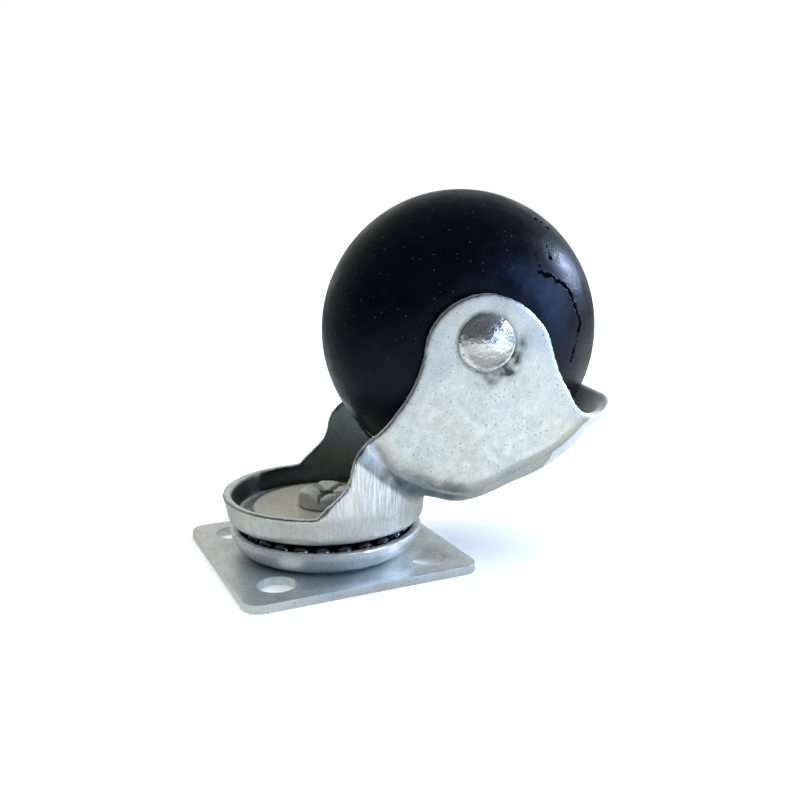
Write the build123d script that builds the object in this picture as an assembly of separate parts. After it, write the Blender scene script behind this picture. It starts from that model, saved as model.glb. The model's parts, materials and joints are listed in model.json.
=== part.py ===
"""Light swivel plate castor with a crowned nylon wheel, as separate pieces.

Millimetres. Z is the swivel axis and z = 0 is the plate's mounting face. The
fork, axle and wheel are drawn with the wheel towards +X, then turned about Z
to the swivel position in which the castor is stored. Names in capitals are
the sizes to set; names in small letters follow from them.
"""

import math
import os

from build123d import *

os.makedirs("parts", exist_ok=True)

SWIVEL_DEG = -14.0
SHEET = 1.5
FIT = 0.05
SEAT = 0.02

# Wheel
WHEEL_R = 25.0
WHEEL_WIDTH = 32.4
BOSS_R = 6.5
BOSS_RISE = 0.35
BOSS_DRAFT = 0.4

# Axle
TRAIL = 25.1
AXLE_R = 3.0
HEAD_R = 4.75
HEAD_H = 2.5

# Mounting plate
PLATE_SIDE = 42.0
PLATE_CORNER_R = 3.0
HOLE_SPACING = 28.0
HOLE_R = 3.35
EDGE_ROLL = 0.35

# Kingpin
PIN_R = 4.5
PIN_WALL = 1.2
PIN_HEAD_R = 7.0
PIN_HEAD_Z = 0.1
HEAD_GAP = 0.3
CRIMP_OVER = 0.55
CRIMP_H = 3.5
CRIMP_ROLL = 1.2
PETALS = 5
PETAL_HOLE_R = 1.2
PETAL_DIP = 0.7
PETAL_T = 0.85
SLIT_W = 0.7
SLIT_DEEP = 2.0
SLIT_DEG = 20.0

# Balls
BALL_R = 1.5875
BALL_SPACE = 0.45
CONTACT_DEG = 48.8
UPPER_GAP = 0.1

# Lower race dish
DISH_INSET = 0.8
DISH_EASE = 1.46

# Washer over the upper balls
WASHER_T = 0.9
WASHER_INSET = 1.1
WASHER_SLOPE = 0.08
LIP_W = 1.5
LIP_H = 0.5
LIP_DRAFT = 0.5

# Fork
SIDE_GAP = 0.6
CUP_DRAFT = 0.4
HOLE_GAP = 0.9
PAN_GAP = 0.6
PAN_INNER_R = 0.5
RING_EASE = 0.56
FOOT_RISE = 1.64
FOOT_BEND = 1.0
CUP_WALL = 4.0
HOOD_GAP = 0.8
HOOD_RISE = 1.1
HOOD_CORNER = 5.5
HOOD_ROUND = 8.0
EAR_R = 8.1
NECK_X = -3.3
TONGUE_DEG = -24.5
TONGUE_FLAT = 11.5
TONGUE_CORNER = 5.4

# Side outline about the axle as (reach, degrees): reach 0 is the ear's radius and reach 1 the hood's
NECK_EDGE = [(1.46, -135.0), (1.29, -135.2), (1.1, -139.3), (0.85, -141.3), (0.51, -144.1), (0.29, -151.5)]
EAR_FRONT = (0.114, -175.5)
EAR_SHOULDER = (0.025, 134.3)
EAR_TOP = (0.0, 87.2)
EAR_SLOPE = (0.05, 34.2)
EAR_BACK = (0.152, 3.1)
NOTCH_EDGE = [(0.34, -25.0), (0.56, -33.7), (0.7, -35.9), (0.81, -34.4), (0.89, -31.2)]
TONGUE_INNER = (0.913, TONGUE_DEG)
TONGUE_OUTER = (1.2, TONGUE_DEG)

# Widths that follow from the wheel
wheel_half = WHEEL_WIDTH / 2
cup_r = wheel_half + SIDE_GAP + SHEET
cup_foot_r = cup_r - CUP_DRAFT
hood_r = WHEEL_R + HOOD_GAP + SHEET

# Lower race: the balls bear outwards on the dish and inwards on the fork's raised ring
lean = math.radians(CONTACT_DEG)
ball_reach = BALL_R + FIT
dish_bend = SHEET + ball_reach + DISH_EASE
dish_arc_r = cup_r - DISH_INSET - dish_bend
dish_arc_z = SHEET + dish_bend
lower_r = dish_arc_r + DISH_EASE * math.sin(lean)
lower_z = dish_arc_z - DISH_EASE * math.cos(lean)
ring_bend = ball_reach + RING_EASE
ring_x = lower_r + RING_EASE * math.sin(lean)
ring_z = lower_z - RING_EASE * math.cos(lean)
ring_low_z = ring_z + ring_bend
ring_top_z = ring_low_z + SHEET

# Upper race: the balls run in the pan, just inside the ring
pan_z = 2 * SHEET + PAN_GAP
pan_bend = SHEET + PAN_INNER_R
upper_z = pan_z + SHEET + ball_reach
upper_reach = ring_bend + SHEET + BALL_R + UPPER_GAP
upper_r = ring_x - math.sqrt(upper_reach**2 - (upper_z - ring_z) ** 2)

# Heights that follow
foot_z = ring_low_z + FOOT_RISE
rim_z = foot_z + CUP_WALL
axle_z = rim_z + HOOD_RISE + hood_r
high = axle_z + 3 * EAR_R
wide = 4 * hood_r


def polar(radius, degrees, x=0.0, y=0.0):
    """Point at a radius and an angle from a centre."""
    turn = math.radians(degrees)
    return (x + radius * math.cos(turn), y + radius * math.sin(turn))


def ear_point(mark):
    """Side-view point of the fork from its reach and angle about the axle."""
    reach, degrees = mark
    return polar(EAR_R + reach * (hood_r - EAR_R), degrees, TRAIL, axle_z)


def turned(section):
    """Ring swept from a half section drawn as (radius, height)."""
    return revolve(Plane.XZ * make_face(section), Axis.Z)


def save(shape, node):
    """Write one piece as its own STEP file."""
    export_step(shape, f"parts/{node}.step")


# Plate
plate = extrude(RectangleRounded(PLATE_SIDE, PLATE_SIDE, PLATE_CORNER_R), SHEET)
plate = fillet(plate.faces().sort_by(Axis.Z)[-1].edges(), EDGE_ROLL)
hole_spots = GridLocations(HOLE_SPACING, HOLE_SPACING, 2, 2)
holes = hole_spots * Cylinder(HOLE_R, 3 * SHEET)
plate = plate - holes - Cylinder(PIN_HEAD_R + HEAD_GAP, 3 * SHEET)
save(plate, "plate")

# Lower race dish, from the kingpin out to its cut rim
dish_hub_r = PIN_R + SEAT
dish_foot = Line((dish_hub_r, SHEET), (dish_arc_r, SHEET))
dish_out = CenterArc((dish_arc_r, dish_arc_z), dish_bend, -90, 90)
dish_in = CenterArc((dish_arc_r, dish_arc_z), dish_bend - SHEET, -90, 90)
dish_floor = Line((dish_hub_r, 2 * SHEET), (dish_arc_r, 2 * SHEET))
dish_hub = Line((dish_hub_r, SHEET), (dish_hub_r, 2 * SHEET))
dish_rim = Line(dish_out @ 1, dish_in @ 1)
dish = turned(dish_foot + dish_out + dish_rim + dish_in + dish_floor + dish_hub)
save(dish, "race_dish")

# Washer over the upper balls
washer_r = ring_x - WASHER_INSET
washer_low = upper_z + ball_reach
washer_in = washer_low + WASHER_SLOPE * (PIN_R - upper_r)
washer_out = washer_low + WASHER_SLOPE * (washer_r - upper_r)
lip_r = PIN_R + LIP_W
lip_foot_r = lip_r + LIP_DRAFT
lip_foot_z = washer_low + WASHER_SLOPE * (lip_foot_r - upper_r) + WASHER_T
lip_top = lip_foot_z + LIP_H
washer_section = Polyline(
    (PIN_R + SEAT, washer_in),
    (washer_r, washer_out),
    (washer_r, washer_out + WASHER_T),
    (lip_foot_r, lip_foot_z),
    (lip_r, lip_top),
    (PIN_R + SEAT, lip_top),
    close=True,
)
washer = turned(washer_section)
washer_rim = washer.edges().filter_by(GeomType.CIRCLE).filter_by(lambda e: e.radius > washer_r - FIT)
washer = fillet(washer_rim.sort_by(Axis.Z)[-1], WASHER_T / 3)
save(washer, "race_washer")

# Kingpin: head in the plate, hollow shank, end slit and folded in over the washer
pin_bore_r = PIN_R - PIN_WALL
crimp_r = PIN_R + CRIMP_OVER
crimp_foot = lip_top + SEAT
crimp_top = lip_top + CRIMP_H
pin_section = Polyline(
    (pin_bore_r, PIN_HEAD_Z),
    (PIN_HEAD_R, PIN_HEAD_Z),
    (PIN_HEAD_R, SHEET - SEAT),
    (PIN_R, SHEET - SEAT),
    (PIN_R, crimp_foot),
    (crimp_r, crimp_foot + CRIMP_OVER / 2),
    (crimp_r, crimp_top - CRIMP_ROLL),
    (crimp_r - CRIMP_ROLL / 3, crimp_top - CRIMP_ROLL / 3),
    (crimp_r - CRIMP_ROLL, crimp_top),
    (PETAL_HOLE_R, crimp_top - PETAL_DIP),
    (PETAL_HOLE_R, crimp_top - PETAL_DIP - PETAL_T),
    (pin_bore_r, crimp_top - PIN_WALL - CRIMP_ROLL / 3),
    close=True,
)
kingpin = turned(pin_section)
slit = Box(crimp_r, SLIT_W, 2 * SLIT_DEEP, align=(Align.MIN, Align.CENTER, Align.CENTER))
for i in range(PETALS):
    kingpin -= Rot(0, 0, SLIT_DEG + 360 / PETALS * i) * Pos(PETAL_HOLE_R / 3, 0, crimp_top) * slit
save(kingpin, "kingpin")

# Balls, as many in each ring as fit side by side
lower_balls = int(2 * math.pi * lower_r / (2 * BALL_R + BALL_SPACE))
upper_balls = int(2 * math.pi * upper_r / (2 * BALL_R + BALL_SPACE))
for i in range(lower_balls):
    spot = polar(lower_r, 360 / lower_balls * (i + 0.5))
    save(Pos(spot[0], spot[1], lower_z) * Sphere(BALL_R), f"lower_ball_{i + 1:02d}")
for i in range(upper_balls):
    spot = polar(upper_r, 360 / upper_balls * i)
    save(Pos(spot[0], spot[1], upper_z) * Sphere(BALL_R), f"upper_ball_{i + 1:02d}")

# Fork cup: pan, raised ring over the lower balls, and wall
swing = math.degrees(math.acos(1 - (ring_low_z - pan_z) / (pan_bend + ring_bend)))
pan_x = ring_x - (pan_bend + ring_bend) * math.sin(math.radians(swing))
pan_c = (pan_x, pan_z + pan_bend)
ring_c = (ring_x, ring_z)
hole_r = PIN_R + HOLE_GAP
foot_in = (cup_foot_r - FOOT_BEND, foot_z - FOOT_BEND)
foot_out = (cup_foot_r, foot_z)
wall_out = (cup_r, rim_z)
wall_in = (cup_r - SHEET, rim_z)
wall_foot = (cup_foot_r - SHEET, foot_z + FOOT_BEND)
ring_out = (cup_foot_r - SHEET - FOOT_BEND, ring_top_z + FIT)
under_side = (
    Line((hole_r, pan_z), (pan_x, pan_z))
    + CenterArc(pan_c, pan_bend, -90, swing)
    + CenterArc(ring_c, ring_bend, 90 + swing, -swing)
    + Line((ring_x, ring_low_z), foot_in)
    + TangentArc(foot_in, foot_out, tangent=(1, 0.25))
    + Line(foot_out, wall_out)
)
top_side = (
    Line((hole_r, pan_z + SHEET), (pan_x, pan_z + SHEET))
    + CenterArc(pan_c, PAN_INNER_R, -90, swing)
    + CenterArc(ring_c, ring_bend + SHEET, 90 + swing, -swing)
    + Line((ring_x, ring_top_z), ring_out)
    + TangentArc(ring_out, wall_foot, tangent=(1, 0))
    + Line(wall_foot, wall_in)
)
outer_close = Polyline(wall_out, (cup_r, high), (0, high), (0, pan_z), (hole_r, pan_z))
inner_low = pan_z + SHEET
inner_close = Polyline(
    wall_in, (cup_r - SHEET, high + SHEET), (0, high + SHEET), (0, inner_low), (hole_r, inner_low)
)
cup_outer = turned(under_side + outer_close)
cup_inner = turned(top_side + inner_close)


def hood(wall):
    """Wheel housing inside a wall: a drum about the axle with elliptic corners, open above the axle."""
    radius = hood_r - wall
    half = cup_r - wall
    flat_r = hood_r - HOOD_CORNER
    flat_y = cup_r - HOOD_ROUND
    corner = EllipticalCenterArc((flat_r, flat_y), radius - flat_r, half - flat_y, arc_size=90)
    sides = Polyline(corner @ 1, (0, half), (0, 0), (radius, 0), corner @ 0)
    half_drum = turned(corner + sides)
    drum = at_axle * (half_drum + Rot(180, 0, 0) * half_drum)
    behind_pin = Box(wide, wide, wide, align=(Align.MIN, Align.CENTER, Align.CENTER))
    tall = Box(2 * flat_r, 2 * half, high, align=(Align.CENTER, Align.CENTER, Align.MIN))
    return (drum & behind_pin) + Pos(TRAIL, 0, axle_z) * tall


at_axle = Pos(TRAIL, 0, axle_z) * Rot(90, 0, 0)
hood_outer = hood(0)
hood_inner = hood(SHEET)

# Side outline that trims the rim, the neck, the ears and the tongue
neck_foot = (NECK_X, rim_z)
neck = Spline(neck_foot, *[ear_point(mark) for mark in NECK_EDGE], ear_point(EAR_FRONT))
shoulder = TangentArc(ear_point(EAR_FRONT), ear_point(EAR_SHOULDER), tangent=neck % 1)
crown_front = TangentArc(ear_point(EAR_SHOULDER), ear_point(EAR_TOP), tangent=shoulder % 1)
crown_back = ThreePointArc(ear_point(EAR_TOP), ear_point(EAR_SLOPE), ear_point(EAR_BACK))
notch = Spline(ear_point(EAR_BACK), *[ear_point(mark) for mark in NOTCH_EDGE], ear_point(TONGUE_INNER))
around = Polyline(
    ear_point(TONGUE_INNER), ear_point(TONGUE_OUTER), (wide, 0), (-wide, 0), (-wide, rim_z), neck_foot
)
outline = make_face(neck + shoulder + crown_front + crown_back + notch + around)
trim = extrude(Plane.XZ * outline, 2 * cup_r, both=True)

# Rounding of the tongue's corners, cut along the hood's radius there
corner_low = TONGUE_CORNER * 0.84
corner_box = Box(
    HOOD_CORNER * 1.6, 2 * TONGUE_CORNER, corner_low + SHEET, align=(Align.CENTER, Align.MIN, Align.MAX)
)
corner_round = Pos(0, 0, -TONGUE_CORNER) * Rot(0, 90, 0) * Cylinder(TONGUE_CORNER, 2 * HOOD_CORNER)
corner_cut = Pos(hood_r, TONGUE_FLAT, 0) * (Pos(0, 0, SHEET) * corner_box - corner_round)
corner_cut = Pos(TRAIL, 0, axle_z) * Rot(0, -TONGUE_DEG, 0) * corner_cut
far_corner = mirror(corner_cut, about=Plane.XZ)

fork = (cup_outer + hood_outer) - (cup_inner + hood_inner)
fork = fork - Cylinder(hole_r, 2 * high)
fork = fork & trim
fork = fork - corner_cut - far_corner
bore = Pos(TRAIL, 0, axle_z) * Rot(90, 0, 0) * Cylinder(AXLE_R + FIT, 3 * cup_r)
fork = fork - bore
swivel = Rot(0, 0, SWIVEL_DEG)
save(swivel * fork, "fork")

# Axle rivet with a dome at each end
dome_r = (HEAD_R**2 + HEAD_H**2) / (2 * HEAD_H)
dome_mid = 90 - math.degrees(math.asin(HEAD_R / dome_r)) / 2
seat_y = cup_r + SEAT
dome_top = seat_y + HEAD_H
dome = ThreePointArc((0, dome_top), polar(dome_r, dome_mid, 0, dome_top - dome_r), (HEAD_R, seat_y))
shank = Polyline((HEAD_R, seat_y), (AXLE_R, seat_y), (AXLE_R, 0), (0, 0), (0, dome_top))
half_rivet = turned(dome + shank)
rivet = at_axle * (half_rivet + Rot(180, 0, 0) * half_rivet)
save(swivel * rivet, "axle_rivet")

# Wheel
boss_half = wheel_half + BOSS_RISE
wheel_bore = AXLE_R + FIT
crown_r = WHEEL_R - wheel_half
crown = ThreePointArc((crown_r, -wheel_half), (WHEEL_R, 0), (crown_r, wheel_half))
hub = Polyline(
    (crown_r, wheel_half),
    (BOSS_R + BOSS_DRAFT, wheel_half),
    (BOSS_R, boss_half),
    (wheel_bore, boss_half),
    (wheel_bore, -boss_half),
    (BOSS_R, -boss_half),
    (BOSS_R + BOSS_DRAFT, -wheel_half),
    (crown_r, -wheel_half),
)
wheel = at_axle * turned(crown + hub)
save(swivel * wheel, "wheel")
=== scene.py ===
"""Looks of a swivel plate castor: a pressed zinc-plated castor with a crowned black nylon wheel.

Sizes are in millimetres and become metres when a mesh is finished. The fork, axle and wheel are shaped
with the wheel trailing towards +X and are then turned about Z to the swivel position of the frame.
"""

from __future__ import annotations

import json
import logging
import math
import random
from collections.abc import Callable
from dataclasses import dataclass
from enum import Enum

import bmesh
import bpy
from mathutils import Matrix, Vector, kdtree, noise


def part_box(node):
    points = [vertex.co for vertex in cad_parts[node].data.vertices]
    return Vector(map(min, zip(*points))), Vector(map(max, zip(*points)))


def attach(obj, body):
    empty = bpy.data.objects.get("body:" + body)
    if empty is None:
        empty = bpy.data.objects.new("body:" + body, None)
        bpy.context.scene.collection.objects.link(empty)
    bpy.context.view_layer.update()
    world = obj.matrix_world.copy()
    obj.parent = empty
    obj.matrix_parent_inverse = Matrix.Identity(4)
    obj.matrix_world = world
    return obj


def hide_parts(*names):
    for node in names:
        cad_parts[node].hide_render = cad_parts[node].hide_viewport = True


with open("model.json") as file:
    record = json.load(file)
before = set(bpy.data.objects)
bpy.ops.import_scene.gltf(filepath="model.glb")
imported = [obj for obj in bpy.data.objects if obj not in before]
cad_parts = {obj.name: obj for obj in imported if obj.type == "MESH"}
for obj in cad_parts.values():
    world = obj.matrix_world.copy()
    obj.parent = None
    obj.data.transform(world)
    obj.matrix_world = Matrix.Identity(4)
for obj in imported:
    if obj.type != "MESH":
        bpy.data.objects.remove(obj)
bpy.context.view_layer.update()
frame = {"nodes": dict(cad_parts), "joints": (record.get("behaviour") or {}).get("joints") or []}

LOG = logging.getLogger("castor")
MM = 0.001
Profile = list[tuple[float, float]]


class Body(Enum):
    """Moving bodies of the castor."""

    BASE = "base"
    FORK = "fork"
    WHEEL = "wheel"


# Colours and node helpers


def linear(code: str) -> tuple[float, float, float, float]:
    """Turn an sRGB hex colour into linear light.

    Args:
        code: Six hex digits, such as "c8d0d2".

    Returns:
        Red, green, blue and an alpha of one.
    """
    parts = [int(code[i : i + 2], 16) / 255 for i in (0, 2, 4)]
    light = [p / 12.92 if p <= 0.04045 else ((p + 0.055) / 1.055) ** 2.4 for p in parts]
    return (light[0], light[1], light[2], 1.0)


def add_node(tree: bpy.types.NodeTree, kind: str, links: dict | None = None, **values) -> bpy.types.Node:
    """Add a shader node with its settings, input values and links.

    Args:
        tree: Node tree that gets the node.
        kind: Blender's name of the node type.
        links: Input name or index to the output socket that feeds it.
        **values: Node settings, or input values whose names start with in_.

    Returns:
        The new node.
    """
    node = tree.nodes.new(kind)
    for name, value in values.items():
        if name.startswith("in_"):
            key = name[3:]
            node.inputs[int(key) if key.isdigit() else key.replace("_", " ")].default_value = value
        else:
            setattr(node, name, value)
    for name, socket in (links or {}).items():
        tree.links.new(socket, node.inputs[name])
    return node


def new_finish(
    name: str,
) -> tuple[bpy.types.Material, bpy.types.NodeTree, bpy.types.Node, bpy.types.NodeSocket]:
    """Start a material.

    Args:
        name: Its name.

    Returns:
        The material, its node tree, its shader and Object coordinates.
    """
    material = bpy.data.materials.new(name)
    material.use_nodes = True
    tree = material.node_tree
    where = add_node(tree, "ShaderNodeTexCoord").outputs["Object"]
    return material, tree, tree.nodes["Principled BSDF"], where


def painted(tree: bpy.types.NodeTree, name: str) -> bpy.types.NodeSocket:
    """Read a value that paint() stored on the mesh, zero where it has none.

    Args:
        tree: Node tree.
        name: Name of the attribute.

    Returns:
        The value.
    """
    return add_node(tree, "ShaderNodeAttribute", attribute_name=name).outputs["Fac"]


def ramp_node(
    tree: bpy.types.NodeTree, value: bpy.types.NodeSocket, steps: list[tuple[float, str]]
) -> bpy.types.NodeSocket:
    """Turn a value into a colour by steps.

    Args:
        tree: Node tree.
        value: The value.
        steps: Place from 0 to 1 and sRGB hex colour of each stop.

    Returns:
        The colour.
    """
    node = add_node(tree, "ShaderNodeValToRGB", {"Fac": value})
    ramp = node.color_ramp
    while len(ramp.elements) < len(steps):
        ramp.elements.new(0.5)
    for element, (stop, code) in zip(ramp.elements, steps):
        element.position = stop
        element.color = linear(code)
    return node.outputs["Color"]


def math_node(
    tree: bpy.types.NodeTree, how: str, first: bpy.types.NodeSocket, second: bpy.types.NodeSocket | float
) -> bpy.types.NodeSocket:
    """Join two values.

    Args:
        tree: Node tree.
        how: Blender's name of the operation.
        first: First value.
        second: Second value, or a number.

    Returns:
        The result.
    """
    node = add_node(tree, "ShaderNodeMath", {0: first}, operation=how)
    if isinstance(second, float):
        node.inputs[1].default_value = second
    else:
        tree.links.new(second, node.inputs[1])
    return node.outputs[0]


def times(
    tree: bpy.types.NodeTree, first: bpy.types.NodeSocket, *others: bpy.types.NodeSocket | float
) -> bpy.types.NodeSocket:
    """Multiply values.

    Args:
        tree: Node tree.
        first: First value.
        *others: The other values, or numbers.

    Returns:
        The product.
    """
    for other in others:
        first = math_node(tree, "MULTIPLY", first, other)
    return first


def noise_node(
    tree: bpy.types.NodeTree, place: bpy.types.NodeSocket, size_mm: float, detail: float
) -> bpy.types.NodeSocket:
    """Add a cloud pattern.

    Args:
        tree: Node tree.
        place: Coordinates in metres.
        size_mm: Size of one cloud.
        detail: How many finer layers it has.

    Returns:
        The pattern, mostly from 0.3 to 0.7.
    """
    scale = 1 / (size_mm * MM)
    node = add_node(tree, "ShaderNodeTexNoise", {"Vector": place}, in_Scale=scale, in_Detail=detail)
    return node.outputs["Fac"]


def span_node(
    tree: bpy.types.NodeTree, value: bpy.types.NodeSocket, low: float, high: float, start: float, end: float
) -> bpy.types.NodeSocket:
    """Map a value from one range to another, held at both ends.

    Args:
        tree: Node tree.
        value: The value.
        low: Value that gives start.
        high: Value that gives end.
        start: Result at low.
        end: Result at high.

    Returns:
        The mapped value.
    """
    node = add_node(tree, "ShaderNodeMapRange", {"Value": value}, in_1=low, in_2=high, in_3=start, in_4=end)
    return node.outputs["Result"]


def blend_node(
    tree: bpy.types.NodeTree,
    how: str,
    first: bpy.types.NodeSocket | tuple[float, float, float, float],
    second: bpy.types.NodeSocket | tuple[float, float, float, float],
    share: bpy.types.NodeSocket | None = None,
) -> bpy.types.NodeSocket:
    """Blend two colours.

    Args:
        tree: Node tree.
        how: Blender's name of the blend.
        first: First colour, as a socket or in linear light.
        second: Second colour, as a socket or in linear light.
        share: How much of the second is used, or None for all of it.

    Returns:
        The blended colour.
    """
    node = add_node(tree, "ShaderNodeMix", data_type="RGBA", blend_type=how)
    node.inputs[0].default_value = 1.0
    if share is not None:
        tree.links.new(share, node.inputs[0])
    for place, colour in ((6, first), (7, second)):
        if isinstance(colour, tuple):
            node.inputs[place].default_value = colour
        else:
            tree.links.new(colour, node.inputs[place])
    return node.outputs[2]


def emboss(
    tree: bpy.types.NodeTree,
    shader: bpy.types.Node,
    height: bpy.types.NodeSocket,
    strength: float,
    depth_mm: float,
) -> None:
    """Let a height pattern tilt the surface.

    Args:
        tree: Node tree.
        shader: Shader of the surface.
        height: The pattern.
        strength: How much it counts.
        depth_mm: Depth of a pattern from 0 to 1.
    """
    depth = depth_mm * MM
    bump = add_node(tree, "ShaderNodeBump", {"Height": height}, in_Strength=strength, in_Distance=depth)
    tree.links.new(bump.outputs["Normal"], shader.inputs["Normal"])


def show_to(
    tree: bpy.types.NodeTree, ray: str, rest: bpy.types.NodeSocket, chosen: bpy.types.NodeSocket, end: str
) -> None:
    """Show one shader to a kind of ray and another to the rest.

    Args:
        tree: Node tree.
        ray: Blender's name of the kind of ray.
        rest: Shader that the other rays meet.
        chosen: Shader that these rays meet.
        end: Type of the tree's output node.
    """
    path = add_node(tree, "ShaderNodeLightPath")
    mix = add_node(tree, "ShaderNodeMixShader", {0: path.outputs[ray], 1: rest, 2: chosen})
    output = next(n for n in tree.nodes if n.type == end)
    tree.links.new(mix.outputs[0], output.inputs["Surface"])


# Finishes


@dataclass(frozen=True)
class Zinc:
    """Bright zinc plating on pressed sheet: satin, faintly blue, mottled, with fine pits and draw marks."""

    name: str
    light: str = "d4dad8"
    mid: str = "c6d0d2"
    warm: str = "cdd0c8"
    # Pale colour of the burnished draw marks and of the sheet's edges, where it is partly a painted highlight.
    bared_and_highlight: str = "f4f7f7"
    pit: str = "636963"
    # Dark colour of the grime and the painted shade round the rivet's head, also used for the dark draw lines.
    grime_and_shade: str = "4a4d49"
    roughness: float = 0.40
    patch_mm: float = 11.0
    mottle_mm: float = 1.5
    mottle_depth: float = 0.06
    dull: float = 0.0
    grain_mm: float = 0.28
    pit_mm: float = 0.8
    pit_share: float = 0.2
    # Bluish dark colour of the painted shade in the crease below the hood and on the inner faces.
    shade_tint: str = "5c7478"
    draw_mm: float = 0.3
    relief_mm: float = 0.03

    def material(self) -> bpy.types.Material:
        """Build the plating. The mesh's painted values dull it, soil it with grime, paint shade round the
        rivet, in the crease and in the hollows, and make its edges paler, partly as a painted highlight.

        Returns:
            A material on Object coordinates.
        """
        material, tree, shader, place = new_finish(self.name)
        film = math_node(tree, "ADD", painted(tree, "film"), self.dull)
        draw = painted(tree, "draw")
        edge = painted(tree, "edge")
        patches = noise_node(tree, place, self.patch_mm, 3.0)
        mottle = noise_node(tree, place, self.mottle_mm, 6.0)
        grain = noise_node(tree, place, self.grain_mm, 3.0)
        spots = self.spots(tree, place)
        long = add_node(tree, "ShaderNodeMapping", {"Vector": place})
        long.inputs["Scale"].default_value = (1.0, 1.0, 0.07)
        lines = span_node(tree, noise_node(tree, long.outputs[0], self.draw_mm, 2.0), 0.44, 0.6, 0.0, 1.0)
        colour = ramp_node(tree, patches, [(0.34, self.mid), (0.5, self.light), (0.7, self.warm)])
        cloud = span_node(tree, mottle, 0.32, 0.66, 1 - self.mottle_depth, 1.0)
        fine = span_node(tree, grain, 0.34, 0.6, 0.89, 1.07)
        colour = blend_node(tree, "MULTIPLY", colour, times(tree, cloud, fine))
        # Mixed into the colour: pits, burnish, grime, painted shade round the rivet and in the hollows, and a
        # paler edge that is partly painted highlight.
        for code, share in (
            (self.pit, times(tree, spots, 0.75)),
            (self.bared_and_highlight, math_node(tree, "ADD", times(tree, draw, 0.8), times(tree, edge, 0.7))),
            (self.grime_and_shade, times(tree, painted(tree, "grime_and_shade"), mottle, 1.7)),
            (self.shade_tint, painted(tree, "painted_shade")),
            (self.grime_and_shade, times(tree, lines, draw, 0.22)),
        ):
            colour = blend_node(tree, "MIX", colour, linear(code), share)
        tree.links.new(colour, shader.inputs["Base Color"])
        cover = math_node(tree, "MAXIMUM", film, times(tree, edge, 0.5))
        tree.links.new(span_node(tree, cover, 0.0, 1.0, 1.0, 0.2), shader.inputs["Metallic"])
        gloss = span_node(tree, mottle, 0.3, 0.7, self.roughness + 0.09, self.roughness - 0.05)
        tree.links.new(math_node(tree, "ADD", gloss, times(tree, film, 0.15)), shader.inputs["Roughness"])
        rough = math_node(tree, "ADD", grain, times(tree, draw, 5.0, lines))
        rough = math_node(tree, "ADD", rough, times(tree, mottle, 1.6))
        emboss(tree, shader, math_node(tree, "SUBTRACT", rough, spots), 0.5, self.relief_mm)
        return material

    def spots(self, tree: bpy.types.NodeTree, place: bpy.types.NodeSocket) -> bpy.types.NodeSocket:
        """Scatter small pits.

        Args:
            tree: The material's node tree.
            place: Object coordinates.

        Returns:
            One in a pit and zero elsewhere.
        """
        pits = add_node(tree, "ShaderNodeTexVoronoi", {"Vector": place}, in_Scale=1 / (self.pit_mm * MM))
        fleck = span_node(tree, pits.outputs["Distance"], self.pit_share * 0.4, self.pit_share, 1.0, 0.0)
        draw = add_node(tree, "ShaderNodeSeparateColor", {"Color": pits.outputs["Color"]}).outputs["Red"]
        chosen = math_node(tree, "GREATER_THAN", draw, 0.45)
        return math_node(tree, "MULTIPLY", fleck, chosen)


@dataclass(frozen=True)
class Steel:
    """Hardened or cold-headed steel with a polished skin: mirror-like with fine scuffs."""

    name: str
    colour: str = "b9bdbd"
    roughness: float = 0.13
    scuff_mm: float = 1.2
    dent_mm: float = 0.05
    skin: float = 1.0

    def material(self) -> bpy.types.Material:
        """Build the steel.

        Returns:
            A material on Object coordinates.
        """
        material, tree, shader, place = new_finish(self.name)
        shader.inputs["Base Color"].default_value = linear(self.colour)
        shader.inputs["Metallic"].default_value = self.skin
        scuffs = noise_node(tree, place, self.scuff_mm, 5.0)
        gloss = span_node(tree, scuffs, 0.3, 0.75, self.roughness * 0.6, self.roughness * 2.0)
        tree.links.new(gloss, shader.inputs["Roughness"])
        emboss(tree, shader, scuffs, 0.6, self.dent_mm)
        return material


@dataclass(frozen=True)
class Nylon:
    """Moulded black nylon: near-black with a satin skin, handling scuffs, pale dust and a split that is
    painted darker as shade.
    """

    name: str
    colour: str = "03050a"
    gleam: str = "b0c8f2"
    dust: str = "9aa1a8"
    torn: str = "010102"
    # Colour of the painted shade in the split, pit and scratch.
    roughness: float = 0.33
    shine: float = 0.27
    dust_mm: float = 0.85
    scuff_mm: float = 4.5

    def material(self) -> bpy.types.Material:
        """Build the nylon. The mesh's split value marks torn edges, which are painted darker as shade and made
        rougher.

        Returns:
            A material on Object coordinates.
        """
        material, tree, shader, place = new_finish(self.name)
        split = painted(tree, "split")
        motes = add_node(tree, "ShaderNodeTexVoronoi", {"Vector": place}, in_Scale=1 / (self.dust_mm * MM))
        near = math_node(tree, "LESS_THAN", motes.outputs["Distance"], 0.09)
        pick = add_node(tree, "ShaderNodeSeparateColor", {"Color": motes.outputs["Color"]}).outputs["Green"]
        few = math_node(tree, "GREATER_THAN", pick, 0.5)
        share = times(tree, near, few, pick, 0.35)
        dusty = blend_node(tree, "MIX", linear(self.colour), linear(self.dust), share)
        tree.links.new(blend_node(tree, "MIX", dusty, linear(self.torn), split), shader.inputs["Base Color"])
        shader.inputs["Specular IOR Level"].default_value = self.shine
        shader.inputs["Specular Tint"].default_value = linear(self.gleam)
        scuffs = noise_node(tree, place, self.scuff_mm, 6.0)
        gloss = span_node(tree, scuffs, 0.32, 0.68, self.roughness - 0.08, self.roughness + 0.12)
        tree.links.new(math_node(tree, "ADD", gloss, times(tree, split, 0.5)), shader.inputs["Roughness"])
        skin = noise_node(tree, place, 0.45, 4.0)
        dents = noise_node(tree, place, 2.6, 2.0)
        emboss(tree, shader, math_node(tree, "ADD", skin, times(tree, dents, 6.5)), 0.45, 0.03)
        return material


# Mesh helpers


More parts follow.
